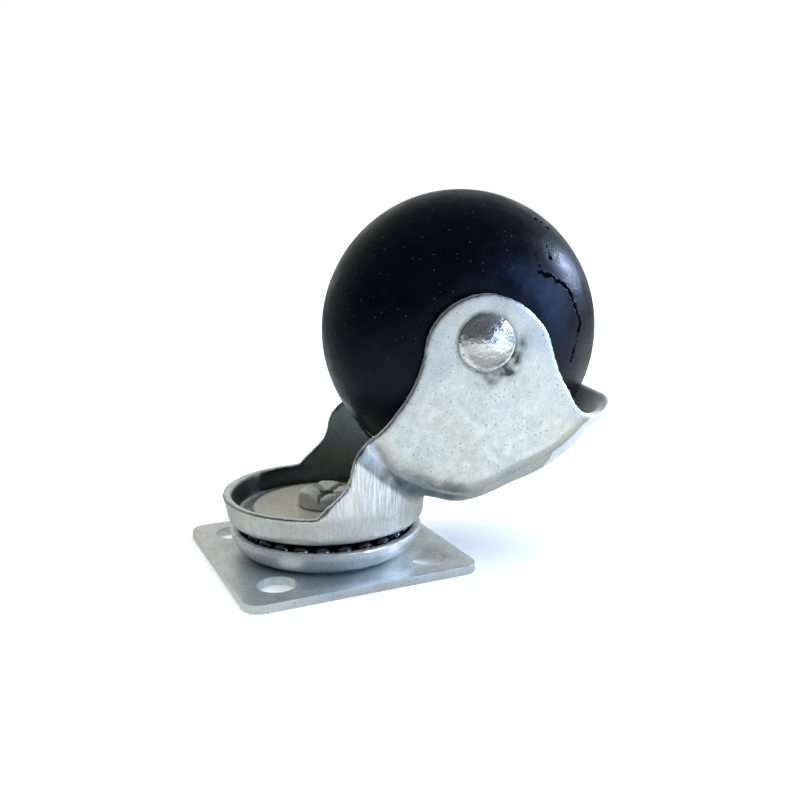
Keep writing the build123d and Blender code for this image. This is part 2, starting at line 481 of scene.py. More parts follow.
def climb(value: float, start: float, end: float) -> float:
    """Rise evenly from zero to one.

    Args:
        value: The value.
        start: Where the rise starts.
        end: Where it is done, which may lie below the start.

    Returns:
        Share from 0 to 1.
    """
    return min(max((value - start) / (end - start), 0.0), 1.0)


def arc(centre: tuple[float, float], radius: float, start: float, end: float, steps: int) -> Profile:
    """Points along an arc.

    Args:
        centre: Centre of the arc.
        radius: Its radius.
        start: First angle in degrees.
        end: Last angle in degrees.
        steps: Number of spans.

    Returns:
        The points, both ends included.
    """
    turns = [math.radians(start + (end - start) * i / steps) for i in range(steps + 1)]
    return [(centre[0] + radius * math.cos(t), centre[1] + radius * math.sin(t)) for t in turns]


def ring(profile: Profile, steps: int, closed: bool = True) -> bmesh.types.BMesh:
    """Spin a half section about Z.

    Args:
        profile: Radius and height of each point.
        steps: Number of spans round the axis.
        closed: Whether the section's last point joins its first.

    Returns:
        The spun shape in millimetres.
    """
    bm = bmesh.new()
    verts = [bm.verts.new((r, 0.0, z)) for r, z in profile]
    edges = [bm.edges.new(pair) for pair in zip(verts, verts[1:])]
    if closed:
        edges.append(bm.edges.new((verts[-1], verts[0])))
    bmesh.ops.spin(
        bm, geom=verts + edges, cent=(0, 0, 0), axis=(0, 0, 1), angle=2 * math.pi, steps=steps, use_merge=True
    )
    bmesh.ops.remove_doubles(bm, verts=bm.verts, dist=1e-4)
    bmesh.ops.recalc_face_normals(bm, faces=bm.faces)
    return bm


def solid(bm: bmesh.types.BMesh, name: str) -> bpy.types.Object:
    """Turn a working shape into a linked object, still in millimetres.

    Args:
        bm: The shape. It is freed.
        name: Name of the object.

    Returns:
        The object.
    """
    mesh = bpy.data.meshes.new(name)
    bm.to_mesh(mesh)
    bm.free()
    obj = bpy.data.objects.new(name, mesh)
    bpy.context.scene.collection.objects.link(obj)
    return obj


def settle(obj: bpy.types.Object) -> None:
    """Apply an object's modifiers to its own mesh.

    Args:
        obj: The object.
    """
    bpy.context.view_layer.update()
    graph = bpy.context.evaluated_depsgraph_get()
    mesh = bpy.data.meshes.new_from_object(obj.evaluated_get(graph))
    old = obj.data
    obj.modifiers.clear()
    obj.data = mesh
    bpy.data.meshes.remove(old)


def cut(obj: bpy.types.Object, tool: bpy.types.Object) -> None:
    """Cut one solid out of another, and drop the tool.

    Args:
        obj: Solid that is changed.
        tool: Solid that is cut out of it.
    """
    modifier = obj.modifiers.new("cut", "BOOLEAN")
    modifier.operation = "DIFFERENCE"
    modifier.solver = "EXACT"
    modifier.object = tool
    settle(obj)
    bpy.data.objects.remove(tool)


def smooth(bm: bmesh.types.BMesh, verts: list[bmesh.types.BMVert], passes: int) -> None:
    """Move points towards their neighbours.

    Args:
        bm: The mesh.
        verts: Its points that move.
        passes: How often.
    """
    axes = {"use_axis_x": True, "use_axis_y": True, "use_axis_z": True}
    for _ in range(passes):
        bmesh.ops.smooth_vert(bm, verts=verts, factor=0.5, **axes)


def even_skin(obj: bpy.types.Object, voxel: float, passes: int) -> None:
    """Give a solid an even mesh and ease its edges, as pressing eases a sheet's.

    Args:
        obj: The solid, in millimetres.
        voxel: Edge of one cell.
        passes: How often each point moves towards its neighbours.
    """
    remesh = obj.modifiers.new("skin", "REMESH")
    remesh.mode = "VOXEL"
    remesh.voxel_size = voxel
    settle(obj)
    bm = bmesh.new()
    bm.from_mesh(obj.data)
    smooth(bm, bm.verts, passes)
    bm.to_mesh(obj.data)
    bm.free()


def cad_copy(node: str, name: str) -> bpy.types.Object:
    """Copy a node's solid as a closed mesh, in millimetres.

    Args:
        node: Name of the node.
        name: Name of the copy.

    Returns:
        The copy.
    """
    source = frame["nodes"][node]
    bm = bmesh.new()
    bm.from_mesh(source.data)
    bmesh.ops.transform(bm, matrix=Matrix.Scale(1 / MM, 4) @ source.matrix_world, verts=bm.verts)
    bmesh.ops.remove_doubles(bm, verts=bm.verts, dist=1e-3)
    bmesh.ops.recalc_face_normals(bm, faces=bm.faces)
    return solid(bm, name)


def paint(obj: bpy.types.Object, name: str, weigh: Callable[[Vector, Vector], float]) -> None:
    """Store a value at each point of a mesh for its material.

    Args:
        obj: The object, in millimetres.
        name: Name of the attribute.
        weigh: Gives the value from a point and its normal.
    """
    layer = obj.data.attributes.new(name, "FLOAT", "POINT")
    layer.data.foreach_set("value", [weigh(v.co, v.normal) for v in obj.data.vertices])


def soften(obj: bpy.types.Object, width: float, segments: int) -> None:
    """Round a solid's edges.

    Args:
        obj: The solid, in millimetres.
        width: Width of the rounding.
        segments: Number of strips across it.
    """
    bevel = obj.modifiers.new("round", "BEVEL")
    bevel.width = width
    bevel.segments = segments
    bevel.limit_method = "ANGLE"
    bevel.angle_limit = math.radians(35)
    settle(obj)


def place(
    obj: bpy.types.Object, turn: Matrix, finish: bpy.types.Material, even: float | None = None
) -> None:
    """Put a finished solid in the frame, in metres, and dress it.

    Args:
        obj: The solid, in millimetres.
        turn: Where it goes, in millimetres.
        finish: Its material.
        even: Largest angle in degrees that is shaded smooth, or None for all.
    """
    mesh = obj.data
    mesh.transform(Matrix.Scale(MM, 4) @ turn)
    mesh.materials.clear()
    mesh.materials.append(finish)
    mesh.polygons.foreach_set("use_smooth", [True] * len(mesh.polygons))
    if even is not None:
        mesh.set_sharp_from_angle(angle=math.radians(even))
    mesh.update()


def stand_in(obj: bpy.types.Object, body: Body, slot: str, *nodes: str) -> None:
    """Let a piece ride on a body in place of the frame's own nodes.

    Args:
        obj: The piece.
        body: Body that it moves with.
        slot: Material slot of the record; not used.
        *nodes: Nodes that it stands for.
    """
    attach(obj, body.value)
    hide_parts(*nodes)
    LOG.info("%s rides on %s, %d faces", obj.name, body.value, len(obj.data.polygons))


AXLE = [v / MM for v in next(j for j in frame["joints"] if j["name"] == "wheel_spin")["pos_m"]]
TRAIL = math.hypot(AXLE[0], AXLE[1])
AXLE_Z = AXLE[2]
SWIVEL = Matrix.Rotation(math.atan2(AXLE[1], AXLE[0]), 4, "Z")
ON_AXLE = SWIVEL @ Matrix.Translation((TRAIL, 0, AXLE_Z)) @ Matrix.Rotation(math.radians(90), 4, "X")


@dataclass
class Plate:
    """Square mounting plate with four screw holes and a hole for the kingpin's head."""

    corner: float = 3.0
    hole: float = 3.35
    spacing: float = 28.0
    head_hole: float = 7.3
    edge: float = 0.4

    def build(self, finish: bpy.types.Material) -> bpy.types.Object:
        """Build the plate and let it stand for its node.

        Args:
            finish: Its plating.

        Returns:
            The finished piece.
        """
        low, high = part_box("plate")
        side = (high.x - low.x) / MM
        thick = (high.z - low.z) / MM
        bm = bmesh.new()
        bmesh.ops.create_cube(bm, size=1.0)
        bmesh.ops.scale(bm, vec=(side, side, thick), verts=bm.verts)
        upright = [e for e in bm.edges if abs(e.verts[0].co.z - e.verts[1].co.z) > thick / 2]
        bmesh.ops.bevel(
            bm, geom=upright, offset=self.corner, segments=10, profile=0.5, affect="EDGES", material=-1
        )
        obj = solid(bm, "plate_sheet")
        cuts = [(x, y, self.hole) for x in (-0.5, 0.5) for y in (-0.5, 0.5)] + [(0, 0, self.head_hole)]
        for x, y, radius in cuts:
            tool = bmesh.new()
            bmesh.ops.create_cone(
                tool, cap_ends=True, segments=64, radius1=radius, radius2=radius, depth=3 * thick
            )
            bmesh.ops.translate(tool, vec=(x * self.spacing, y * self.spacing, 0), verts=tool.verts)
            cut(obj, solid(tool, "drill"))
        soften(obj, self.edge, 4)
        place(obj, Matrix.Translation((0, 0, thick / 2)), finish, 30)
        stand_in(obj, Body.BASE, "zinc_plate", "plate")
        return obj


@dataclass
class RaceDish:
    """Pressed bowl on the plate. Its cut rim keeps a fine ragged burr."""

    sheet: float = 1.5
    bend: float = 4.6
    bore: float = 4.52
    burr: float = 0.15

    def build(self, finish: bpy.types.Material) -> bpy.types.Object:
        """Build the dish and let it stand for its node.

        Args:
            finish: Its plating.

        Returns:
            The finished piece.
        """
        low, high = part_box("race_dish")
        outer = high.x / MM
        foot = low.z / MM
        centre = (outer - self.bend, foot + self.bend)
        lip = 0.3
        rim_z = high.z / MM
        outside = arc(centre, self.bend, -90, -4, 22)
        inside = arc(centre, self.bend - self.sheet, -6, -90, 16)
        top = [(outer, rim_z - lip), (outer - 0.1, rim_z - 0.05), (outer - 0.35, rim_z)]
        top += [(outer - self.sheet + 0.3, rim_z), (outer - self.sheet + 0.05, rim_z - 0.15)]
        floor = [(self.bore, foot + self.sheet)]
        bm = ring([(self.bore, foot)] + outside + top + inside + floor, 288)
        draw = random.Random(11)
        for vert in bm.verts:
            if vert.co.z > rim_z - lip / 2:
                rough = noise.noise(vert.co * 1.3) + 0.5 * noise.noise(vert.co * 3.1)
                vert.co.z += self.burr * (rough - 0.2) + draw.uniform(-0.01, 0.01)
        obj = solid(bm, "race_dish_bowl")
        # Paler rim: partly a painted highlight along the cut edge.
        paint(obj, "edge", lambda spot, normal: 1.0 if spot.z > rim_z - lip else 0.0)
        place(obj, Matrix.Identity(4), finish, 40)
        stand_in(obj, Body.BASE, "zinc_dish", "race_dish")
        return obj


@dataclass
class RaceWasher:
    """Dull disc over the upper balls, with a raised lip round the kingpin."""

    sheet: float = 0.9
    bore: float = 4.52
    lip: float = 6.0
    lip_height: float = 0.5

    def build(self, finish: bpy.types.Material) -> bpy.types.Object:
        """Build the washer and let it stand for its node.

        Args:
            finish: Its plating.

        Returns:
            The finished piece.
        """
        low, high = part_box("race_washer")
        outer = high.x / MM
        under = low.z / MM
        slope = 0.08
        rise = slope * (outer - self.bore)
        edge = under + rise + self.sheet
        lip_z = under + slope * (self.lip - self.bore) + self.sheet
        section = [(self.bore, under), (outer - 0.3, under + rise), (outer, under + rise + 0.25)]
        section += [(outer, edge - 0.35), (outer - 0.12, edge - 0.1), (outer - 0.4, edge)]
        section += [(self.lip + 1.2, lip_z + 0.1), (self.lip + 0.5, lip_z + 0.12)]
        section += [(self.lip + 0.15, lip_z + self.lip_height * 0.8)]
        section += [(self.lip - 0.15, lip_z + self.lip_height)]
        section += [(self.bore + 0.2, lip_z + self.lip_height), (self.bore, lip_z + self.lip_height - 0.1)]
        obj = solid(ring(section, 192), "race_washer_disc")
        place(obj, Matrix.Identity(4), finish, 40)
        stand_in(obj, Body.BASE, "zinc_washer", "race_washer")
        return obj


@dataclass
class Kingpin:
    """Hollow rivet. Its end is slit into petals that are folded inwards and torn."""

    shank: float = 4.5
    bore: float = 3.3
    head: float = 7.0
    head_thick: float = 1.38
    crimp: float = 5.05
    petals: int = 5
    slit_turn: float = 20.0

    def build(self, finish: bpy.types.Material) -> bpy.types.Object:
        """Build the kingpin and let it stand for its node.

        Args:
            finish: Its plating.

        Returns:
            The finished piece.
        """
        low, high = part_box("kingpin")
        foot = low.z / MM
        top = high.z / MM
        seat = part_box("race_washer")[1].z / MM + 0.02
        head_top = foot + self.head_thick
        outside = [(self.head - 0.3, foot), (self.head, foot + 0.3), (self.head, head_top)]
        outside += [(self.shank, head_top), (self.shank, seat)]
        outside += [(self.crimp - 0.1, seat + 0.15), (self.crimp, seat + 0.5)]
        outside += [(self.crimp, seat + 1.1), (self.crimp - 0.02, top - 1.6)]
        fold = arc((self.crimp - 1.35, top - 1.35), 1.35, 8, 82, 9)
        crown = [(self.crimp - 1.9, top - 0.02), (self.crimp - 2.6, top - 0.12), (self.crimp - 3.3, top - 0.3)]
        tip = [(self.crimp - 3.6, top - 0.7), (self.crimp - 3.4, top - 1.15)]
        under = [(self.crimp - 2.6, top - 1.2), (self.bore - 0.2, top - 1.4), (self.bore, top - 1.8)]
        tube = [(self.bore, z) for z in (top - 2.4, seat, head_top)]
        bm = ring(outside + fold + crown + tip + under + tube + [(self.bore, foot)], 160)
        obj = solid(bm, "kingpin_rivet")
        for i in range(self.petals):
            cut(obj, self.slit(top, i))
        for vert in obj.data.vertices:
            self.fold_petal(vert, top, seat)
        place(obj, Matrix.Identity(4), finish, 32)
        stand_in(obj, Body.BASE, "pin_steel", "kingpin")
        return obj

    def fold_petal(self, vert: bpy.types.MeshVertex, top: float, seat: float) -> None:
        """Bend one point of the end with its petal.

        Args:
            vert: Point of the rivet.
            top: Height of the folded end.
            seat: Height of the washer's top.
        """
        height = (vert.co.z - seat - 0.8) / (top - seat - 0.8)
        if height <= 0:
            return
        turn = math.degrees(math.atan2(vert.co.y, vert.co.x)) - self.slit_turn
        share = (turn % (360 / self.petals)) / (360 / self.petals)
        petal = int(turn % 360 // (360 / self.petals))
        drop = (0.15, 0.75, 0.0, 0.5, 0.3)[petal]
        edge = abs(share - 0.5) * 2
        middle = max(0.0, 1 - math.hypot(vert.co.x, vert.co.y) / self.crimp)
        vert.co.z -= height * (drop + 0.8 * edge**3 + 1.1 * middle)
        pull = 1 - 0.09 * height * edge**2
        vert.co.x *= pull
        vert.co.y *= pull
        coarse, fine = noise.noise_vector(vert.co * 0.8), noise.noise_vector(vert.co * 2.3)
        vert.co += 0.26 * height * coarse + 0.12 * height * fine

    def slit(self, top: float, i: int) -> bpy.types.Object:
        """Make the wedge that parts two petals.

        Args:
            top: Height of the folded end.
            i: Number of the slit.

        Returns:
            The cutting solid.
        """
        width = (1.5, 0.9, 2.0, 1.1, 1.4)[i]
        bm = bmesh.new()
        bmesh.ops.create_cube(bm, size=1.0)
        for vert in bm.verts:
            wide = 1.0 if vert.co.x < 0 else 0.7
            low = vert.co.z < 0
            across = vert.co.y * width * wide * (0.55 if low else 1.3)
            vert.co = ((vert.co.x + 0.5) * 5.6, across, vert.co.z * 4.4)
        turn = math.radians(self.slit_turn + 360 / self.petals * i)
        bmesh.ops.translate(bm, vec=(0.3, 0, top), verts=bm.verts)
        bmesh.ops.rotate(bm, cent=(0, 0, 0), matrix=Matrix.Rotation(turn, 3, "Z"), verts=bm.verts)
        return solid(bm, "slit")


@dataclass
class Fork:
    """One pressed sheet: cup with a raised ring over the balls, two ears and a hood under the wheel."""

    skin: float = 0.365
    passes: int = 4
    cup_r: float = 18.3
    hood_r: float = 27.3
    sheet: float = 1.5
    rim_z: float = 12.6
    wall_foot: float = 9.3
    ball_gap: float = 0.06
    fillet_reach: float = 6.5
    fillet_passes: int = 90
    sag: float = 1.75
    corner_ease: float = 1.3
    flare: float = 0.45
    burr: float = 0.12
    head_r: float = 4.75
    valley: tuple[tuple[float, float], ...] = (
        (3.2, 22.6), (5.0, 20.7), (7.7, 18.4), (10.6, 16.8), (13.4, 15.6), (15.8, 15.1), (19.3, 15.3)
    )

    def build(self, finish: bpy.types.Material) -> bpy.types.Object:
        """Build the fork from a copy of its solid and let it stand for its node.

        Args:
            finish: Its plating.

        Returns:
            The finished piece.
        """
        fork = cad_copy("fork", "fork_pressing")
        fork.data.transform(SWIVEL.inverted())
        even_skin(fork, self.skin, self.passes)
        self.form(fork)
        # Painted onto the mesh: grime with painted shade round the rivet, a paler edge that is partly painted
        # highlight, and painted shade in the crease and hollows.
        for weigh in (self.film, self.grime_and_shade, self.draw, self.edge, self.painted_shade):
            paint(fork, weigh.__name__, weigh)
        place(fork, SWIVEL, finish)
        stand_in(fork, Body.FORK, "zinc_fork", "fork")
        return fork

    def form(self, fork: bpy.types.Object) -> None:
        """Ease the fold between cup and hood, flare the rim and roughen the sheared edge.

        Args:
            fork: The fork, in millimetres, trailing towards +X.
        """
        bm = bmesh.new()
        bm.from_mesh(fork.data)
        for vert in bm.verts:
            sag = self.hump(vert.co.x, 4, 10, 20, 34) * self.hump(vert.co.z, 10.5, 14, 20, 30)
            vert.co.z -= self.sag * sag
            self.ease_corner(vert)
        fold = [v for v in bm.verts if self.by_fold(v.co)]
        smooth(bm, fold, self.fillet_passes)
        for vert in bm.verts:
            out = Vector((vert.co.x, vert.co.y, 0)).normalized()
            height = climb(vert.co.z, self.wall_foot, self.rim_z)
            near_wall = 1 if math.hypot(vert.co.x, vert.co.y) > self.cup_r - 2.2 else 0
            ahead = climb(vert.co.x, 0, -12)
            vert.co += out * (self.flare * near_wall * ahead * height**2 if vert.co.z < self.rim_z + 1 else 0)
            vert.co += vert.normal * self.burr * 0.4 * (noise.noise(vert.co * 0.22) - 0.1)
            if self.edge(vert.co, vert.normal):
                vert.co += vert.normal * self.burr * (noise.noise(vert.co * 1.1) - 0.3)
        self.clear_balls(bm)
        bm.to_mesh(fork.data)
        bm.free()

    def clear_balls(self, bm: bmesh.types.BMesh) -> None:
        """Keep the skin off the lower balls, which run round in the fork's groove.

        Args:
            bm: The fork's mesh, in millimetres.
        """
        low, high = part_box("lower_ball_01")
        middle = (low + high) / (2 * MM)
        track = math.hypot(middle.x, middle.y)
        keep = (high.z - low.z) / (2 * MM) + self.ball_gap
        for vert in bm.verts:
            reach = math.hypot(vert.co.x, vert.co.y)
            out, rise = reach - track, vert.co.z - middle.z
            away = math.hypot(out, rise)
            if 0 < away < keep:
                share = (track + out * keep / away) / reach
                vert.co = Vector((vert.co.x * share, vert.co.y * share, middle.z + rise * keep / away))

    def painted_shade(self, spot: Vector, normal: Vector) -> float:
        """Give the painted shade: a bluish dark tint in the crease below the hood and on the inner faces.

        Args:
            spot: A point of the fork.
            normal: Its normal.

        Returns:
            Its share from 0 to 1.
        """
        cup_way = math.hypot(spot.x, spot.y)
        # Painted shade on the cup's inner wall and on the inner faces of the ears and hood.
        if cup_way < self.cup_r - self.sheet + 0.25 and abs(normal.z) < 0.7 and spot.x < 14:
            return 0.75
        if self.by_inside(spot):
            return 0.25 if spot.x < TRAIL else 0.0
        if spot.y > 0:
            return 0.0
        away = min(math.dist((spot.x, spot.z), point) for point in self.valley)
        cloud = 1 + 0.5 * noise.noise(spot * 0.7)
        past_crease = climb(spot.z + 0.91 * spot.x, 24.6, 25.4)
        # Painted shade along the crease below the hood, fading away from the valley line.
        shade_tint = 0.9 * past_crease * max(0.0, 1 - away / (3.4 * cloud)) ** 0.7
        return max(shade_tint, 0.15 * self.hump(spot.x, TRAIL + 12, TRAIL + 18, 60, 70))

    def by_inside(self, spot: Vector) -> bool:
        """Tell whether a point lies on the inner face of an ear or of the hood.

        Args:
            spot: The point.

        Returns:
            Whether it does.
        """
        axle_way = math.hypot(spot.x - TRAIL, spot.z - AXLE_Z)
        within = min(self.hood_r - 0.8 - axle_way, self.cup_r - 0.8 - abs(spot.y))
        return spot.z > self.rim_z + 2 and spot.x > 4 and within > 0

    def ease_corner(self, vert: bmesh.types.BMVert) -> None:
        """Draw the hood's side corners in towards the axle, where the pressing is rounder.

        Args:
            vert: A point of the fork.
        """
        way = Vector((vert.co.x - TRAIL, 0, vert.co.z - AXLE_Z))
        turn = math.degrees(math.atan2(way.z, way.x))
        ease = self.hump(turn, -100, -72, -42, -26) * climb(abs(vert.co.y), 7, 15) ** 2
        vert.co -= way.normalized() * self.corner_ease * ease * climb(way.length, 17, 23)

    @staticmethod
    def hump(value: float, start: float, full: float, hold: float, end: float) -> float:
        """Rise smoothly from zero to one and fall back.

        Args:
            value: The value.
            start: Where the rise starts.
            full: Where it is done.
            hold: Where the fall starts.
            end: Where it is done.

        Returns:
            Share from 0 to 1.
        """
        share = min(climb(value, start, full), climb(value, end, hold))
        return share * share * (3 - 2 * share)

    def edge(self, spot: Vector, normal: Vector) -> float:
        """Tell the sheared edge of the sheet from its faces. As a painted value it makes the edge paler,
        partly as a painted highlight.

        Args:
            spot: A point of the fork.
            normal: Its normal.

        Returns:
            One half on the edge and zero on the faces.
        """
        cup_way = math.hypot(spot.x, spot.y)
        by_cup = spot.x < 0 or spot.z < self.rim_z + 1
        wall = self.cup_r - (cup_way if by_cup else abs(spot.y))
        outward = abs(normal.x * spot.x + normal.y * spot.y) / max(cup_way, 1)
        across = outward if spot.x < 0 else abs(normal.y)
        if spot.z < self.rim_z - 1.2 or not 0.1 < wall < self.sheet:
            return 0.0
        return 0.5 if across < 0.55 else 0.0

    def by_fold(self, spot: Vector) -> bool:
        """Tell whether a point is near the fold where the cup's wall meets the hood.

        Args:
            spot: The point.

        Returns:
            Whether it is.
        """
        axle_way = math.hypot(spot.x - TRAIL, spot.z - AXLE_Z)
        cup_way = math.hypot(spot.x, spot.y)
        by_cup = abs(cup_way - self.cup_r + self.sheet / 2) < self.fillet_reach
        by_hood = self.hood_r - 5.5 < axle_way < self.hood_r + self.fillet_reach
        return by_cup and by_hood and spot.x > 11 and self.rim_z - 2.5 < spot.z < 24

    def film(self, spot: Vector, normal: Vector) -> float:
        """Give the dull film that stays on the inner faces.

        Args:
            spot: A point of the fork.
            normal: Its normal.

        Returns:
            Its share from 0 to 1.
        """
        if self.by_inside(spot):
            return 0.9 if spot.x > TRAIL + 12 else 0.15
        return 0.0

    def grime_and_shade(self, spot: Vector, normal: Vector) -> float:
        """Give the dark ring round the rivet's head, which is painted shade where the head meets the ear, and
        the grey smear of grime below it.

        Args:
            spot: A point of the fork.
            normal: Its normal.

        Returns:
            Its share from 0 to 1.
        """
        away = math.hypot(spot.x - TRAIL, spot.z - AXLE_Z)
        turn = math.degrees(math.atan2(spot.z - AXLE_Z, spot.x - TRAIL))
        # Painted shade in the ring where the head meets the ear.
        ring_share = max(0.0, 1 - abs(away - self.head_r - 0.2) / 0.55)
        below = max(0.0, 1 - abs(turn + 50) / 80) * max(0.0, 1 - abs(away - 6.2) / 1.9)
        cloud = 0.5 + noise.noise(spot * 0.9) * 0.8
        return min(1.0, max(0.0, 0.8 * ring_share + 1.9 * below * cloud))

    def draw(self, spot: Vector, normal: Vector) -> float:
        """Give the strength of the draw marks on the neck and the cup's wall.

        Args:
            spot: A point of the fork.
            normal: Its normal.

        Returns:
            Its share from 0 to 1.
        """
        cup_way = math.hypot(spot.x, spot.y)
        if cup_way < self.cup_r - 0.9 or spot.z > 25:
            return 0.0
        neck = climb(spot.z, 12, 15) * climb(spot.z, 24, 20) * climb(spot.x, -9, -5) * climb(spot.x, 13, 10)
        wall = climb(spot.z, 15, 13) * max(climb(spot.x, -6, 8), 0.3)
        return min(1.0, neck + 0.75 * wall)


@dataclass
class AxleRivet:
    """Cold-headed rivet through both ears: a polished dome on a thin uneven flange at each end."""

    shank: float = 3.0
    flange: float = 4.75
    flange_height: float = 0.42
    dome: float = 4.25
    head_height: float = 2.5
    seat: float = 18.32
    lean: tuple[float, float] = (0.28, 0.38)

    def build(self, finish: bpy.types.Material) -> bpy.types.Object:
        """Build the rivet and let it stand for its node.

        Args:
            finish: Its polished steel.

        Returns:
            The finished piece.
        """
        rise = self.head_height - self.flange_height - 0.1
        radius = (self.dome**2 + rise**2) / (2 * rise)
        spread = math.degrees(math.asin(self.dome / radius))
        top = self.seat + self.head_height
        neck = self.seat + self.flange_height
        head = arc((0.0, top - radius), radius, 90, 90 - spread, 28)
        head += [(self.dome + 0.03, neck + 0.03), (self.dome + 0.12, neck - 0.03)]
        head += [(self.flange - 0.25, neck - 0.08), (self.flange - 0.08, neck - 0.14)]
        head += [(self.flange, self.seat + 0.12), (self.flange - 0.06, self.seat)]
        upper = head + [(self.shank, self.seat), (self.shank, 0.0)]
        lower = [(r, -z) for r, z in reversed(upper[:-1])]
        bm = ring(upper + lower, 128, closed=False)
        for vert in bm.verts:
            share = climb(abs(vert.co.z), self.seat + 0.2, self.seat + 0.2 + self.flange_height)
            vert.co += Vector((self.lean[0], self.lean[1], 0)) * share
            if math.hypot(vert.co.x, vert.co.y) > self.shank + 0.5:
                vert.co += 0.05 * noise.noise_vector(vert.co * 0.9)
        obj = solid(bm, "axle_rivet_steel")
        place(obj, ON_AXLE, finish, 40)
        stand_in(obj, Body.FORK, "rivet_steel", "axle_rivet")
        return obj


@dataclass
class Wheel:
    """Crowned nylon wheel with a ragged split, a pit, a scratch and a few chips on the side seen here."""

    radius: float = 25.0
    half: float = 16.2
    boss: float = 6.5
    boss_half: float = 16.55
    bore: float = 3.05
    split_reach: float = 0.55
    split_depth: float = 0.5
    split: tuple[tuple[float, float], ...] = (
        (49.5, 14.7), (47.0, 15.1), (44.1, 15.2), (40.1, 16.1), (36.5, 16.2), (33.4, 16.7), (29.0, 17.4),
        (23.6, 17.6), (15.6, 17.8), (9.6, 18.1), (5.7, 18.2), (-0.6, 17.5), (-5.1, 17.1), (-11.0, 16.8),
        (-15.3, 16.7),
    )
    side_split: tuple[tuple[float, float], ...] = ((47.0, 15.1), (49.8, 15.8), (51.5, 15.6))
    scratch: tuple[tuple[float, float], ...] = ((53.1, 19.7), (51.0, 19.2), (49.5, 18.8), (47.5, 18.3))
    pits: tuple[tuple[float, float, float], ...] = (
        (47.3, 18.2, 0.42), (60.0, 22.8, 0.5), (57.0, 22.9, 0.38), (53.5, 22.7, 0.45), (81.0, 13.4, 0.16),
    )

    def build(self, finish: bpy.types.Material) -> bpy.types.Object:
        """Build the wheel and let it stand for its node.

        Args:
            finish: Its nylon.

        Returns:
            The finished piece.
        """
        tread = arc((self.radius - self.half, 0.0), self.half, -89, 89, 120)
        side = [(self.boss + 0.6, self.half), (self.boss + 0.2, self.half + 0.12)]
        side += [(self.boss, self.boss_half - 0.06), (self.boss - 0.2, self.boss_half)]
        side += [(self.bore + 0.2, self.boss_half), (self.bore, self.boss_half - 0.2)]
        other = [(r, -z) for r, z in reversed(side)]
        bm = ring(tread + side + other, 240)
        paths = [self.path(marks) for marks in (self.split, self.side_split, self.scratch)]
        for reach, cuts in ((1.5, 2), (0.8, 2)):
            near = [e for e in bm.edges if self.reach_of(e.verts[0].co, paths) < reach]
            bmesh.ops.subdivide_edges(bm, edges=near, cuts=cuts, use_grid_fill=True)
        # The split value paints the sunk places darker as painted shade.
        layer = bm.verts.layers.float.new("split")
        bm.normal_update()
        moves = [(v, v.normal.copy(), self.wear(v.co, paths)) for v in bm.verts]
        for vert, normal, wear in moves:
            vert.co -= normal * wear
            vert[layer] = climb(wear, 0, 0.22)
        obj = solid(bm, "wheel_moulding")
        place(obj, ON_AXLE, finish, 60)
        stand_in(obj, Body.WHEEL, "black_nylon", "wheel")
        return obj

    def on_crown(self, degrees: float, reach: float) -> Vector:
        """Find a point of the crown on the side seen here.

        Args:
            degrees: Angle about the axle.
            reach: Distance from the axle.

        Returns:
            The point, before the wheel is turned onto its axle.
        """
        turn = math.radians(degrees)
        rise = math.sqrt(max(self.half**2 - (reach - self.radius + self.half) ** 2, 0.0))
        return Vector((reach * math.cos(turn), reach * math.sin(turn), rise))

    def path(self, marks: tuple[tuple[float, float], ...]) -> kdtree.KDTree:
        """Place a line of marks on the crown, with a ragged course.

        Args:
            marks: Angle and distance of each mark.

        Returns:
            Its points, ready to be searched.
        """
        corners = [self.on_crown(*mark) for mark in marks]
        points = []
        for start, end in zip(corners, corners[1:]):
            steps = max(2, round((end - start).length / 0.25))
            points += [start.lerp(end, i / steps) for i in range(steps)]
        points.append(corners[-1])
        tree = kdtree.KDTree(len(points))
        for i, point in enumerate(points):
            coarse, fine = noise.noise_vector(point * 1.7), noise.noise_vector(point * 5.3)
            tree.insert(point + 0.3 * coarse + 0.12 * fine, i)
        tree.balance()
        return tree

    def reach_of(self, spot: Vector, paths: list[kdtree.KDTree]) -> float:
        """Measure how near a point is to the marks.

        Args:
            spot: The point.
            paths: Lines of the split and the scratch.

        Returns:
            Distance to the nearest, or 9 where all are far.
        """
        if spot.z < 6 or spot.x < 4:
            return 9.0
        way = min(path.find(spot)[2] for path in paths)
        pits = min((spot - self.on_crown(d, r)).length - size * 0.5 for d, r, size in self.pits)
        return min(way, pits)

    def wear(self, spot: Vector, paths: list[kdtree.KDTree]) -> float:
        """Work out how deep the surface is sunk at a point.

        Args:
            spot: The point.
            paths: Lines of the split, its branch and the scratch.

        Returns:
            Depth in millimetres, below zero on a raised torn lip.
        """
        if self.reach_of(spot, paths) > self.split_reach * 2:
            return 0.0
        main, side, scratch = (path.find(spot)[2] for path in paths)
        angle = math.degrees(math.atan2(spot.y, spot.x))
        fade = 1.0 if angle > 2 else max(0.15, 0.55 + 0.6 * noise.noise(spot * 1.3))
        width = self.split_reach * (0.45 + 0.7 * max(0.0, noise.noise(spot * 0.9) + 0.2)) * (0.6 + 0.4 * fade)
        depth = self.split_depth * fade * max(0.0, 1 - (main / width) ** 2)
        depth += 0.3 * max(0.0, 1 - (side / (width * 0.7)) ** 2)
        depth += 0.10 * max(0.0, 1 - (scratch / 0.16) ** 2)
        for degrees, reach, size in self.pits:
            away = (spot - self.on_crown(degrees, reach)).length / size
            depth += 0.45 * size * 2 * max(0.0, 1 - away**2)
        lip = 0.06 * max(0.0, noise.noise(spot * 3.1)) if width < main < width * 1.7 else 0.0
        return depth - lip * fade


